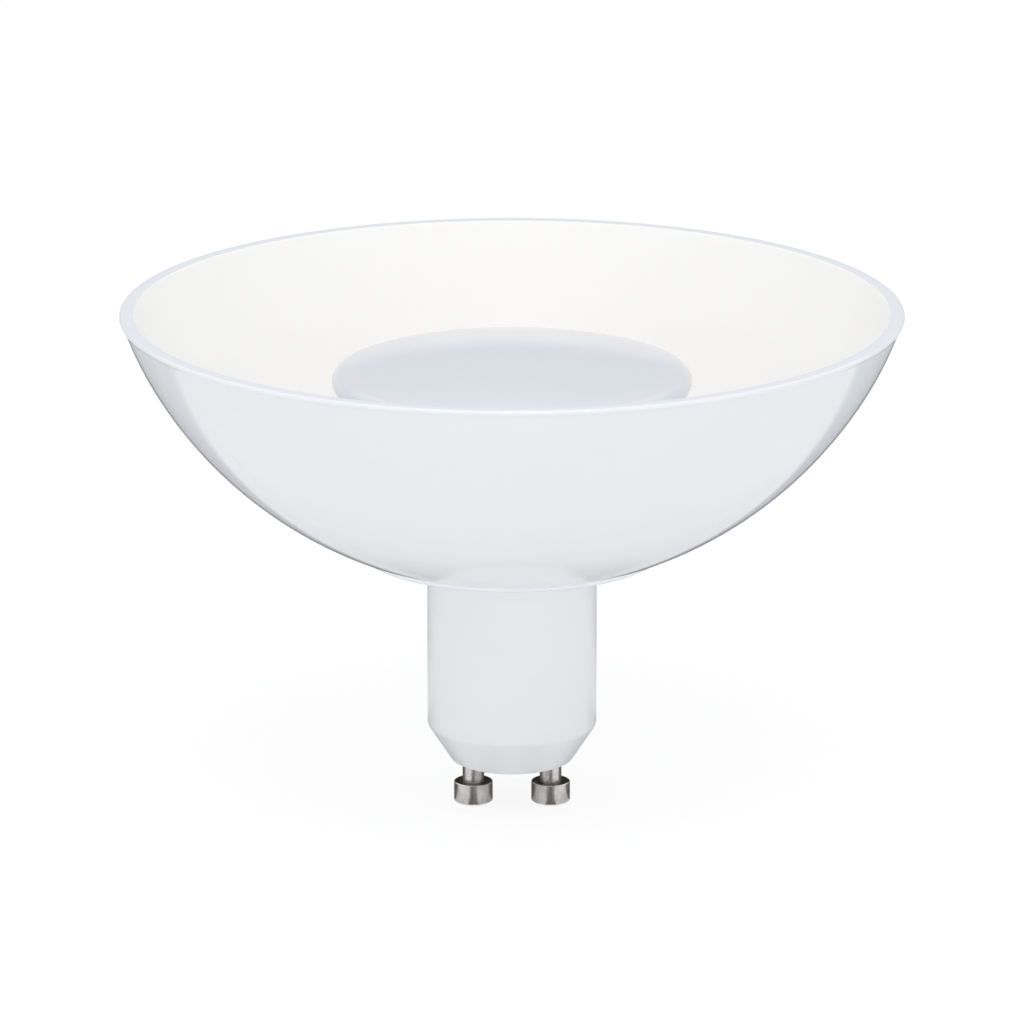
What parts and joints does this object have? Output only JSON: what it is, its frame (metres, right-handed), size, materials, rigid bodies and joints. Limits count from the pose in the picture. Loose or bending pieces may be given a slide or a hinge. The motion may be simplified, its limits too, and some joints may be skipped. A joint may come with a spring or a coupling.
{
  "type": "led spot bulb",
  "caption": "White LED reflector lamp: a wide glossy bowl round an opal domed cover, on a plain neck with a thin collar, a bevelled end and headed twist-lock contact pins.",
  "frame": {"origin": "on the lamp's axis, at the end face of the base that the contact pins stand out of", "axes": "+Z along the lamp's axis towards the mouth of the bowl, X through both contact pins"},
  "size_m": [0.1, 0.1, 0.0657],
  "materials": {
    "bowl_white": "polished white moulding",
    "opal_plastic": "opal, satin",
    "neck_white": "satin white moulding",
    "housing_white": "matt white moulding",
    "nickel": "turned, nickel plated",
    "bare_aluminium": "pressed",
    "board_white": "white solder resist",
    "led_phosphor": "silicone",
    "zinc_steel": "zinc plated",
    "board_green": "solder resist",
    "resistor_coat": "lacquer",
    "film_resin": "moulded box",
    "ferrite": "sintered",
    "copper_wire": "enamelled wire",
    "capacitor_sleeve": "shrink sleeve",
    "package_black": "moulded epoxy",
    "lead_white": "insulated wire",
    "lead_red": "insulated wire",
    "lead_black": "insulated wire"
  },
  "bodies": {
    "root": {"reflector_bowl": "bowl_white", "diffuser_cover": "opal_plastic", "base_cap": "neck_white", "contact_pin_left": "nickel", "contact_pin_right": "nickel", "lamp_housing": "housing_white", "heat_sink": "bare_aluminium", "led_board": "board_white", "led_chips": "led_phosphor", "board_screws": "zinc_steel", "driver_board": "board_green", "fuse_resistor": "resistor_coat", "film_capacitor": "film_resin", "inductor_core": "ferrite", "inductor_winding": "copper_wire", "smoothing_capacitor": "capacitor_sleeve", "bridge_rectifier": "package_black", "driver_chip": "package_black", "live_lead": "lead_white", "neutral_lead": "lead_white", "led_positive_lead": "lead_red", "led_negative_lead": "lead_black"}
  },
  "joints": []
}
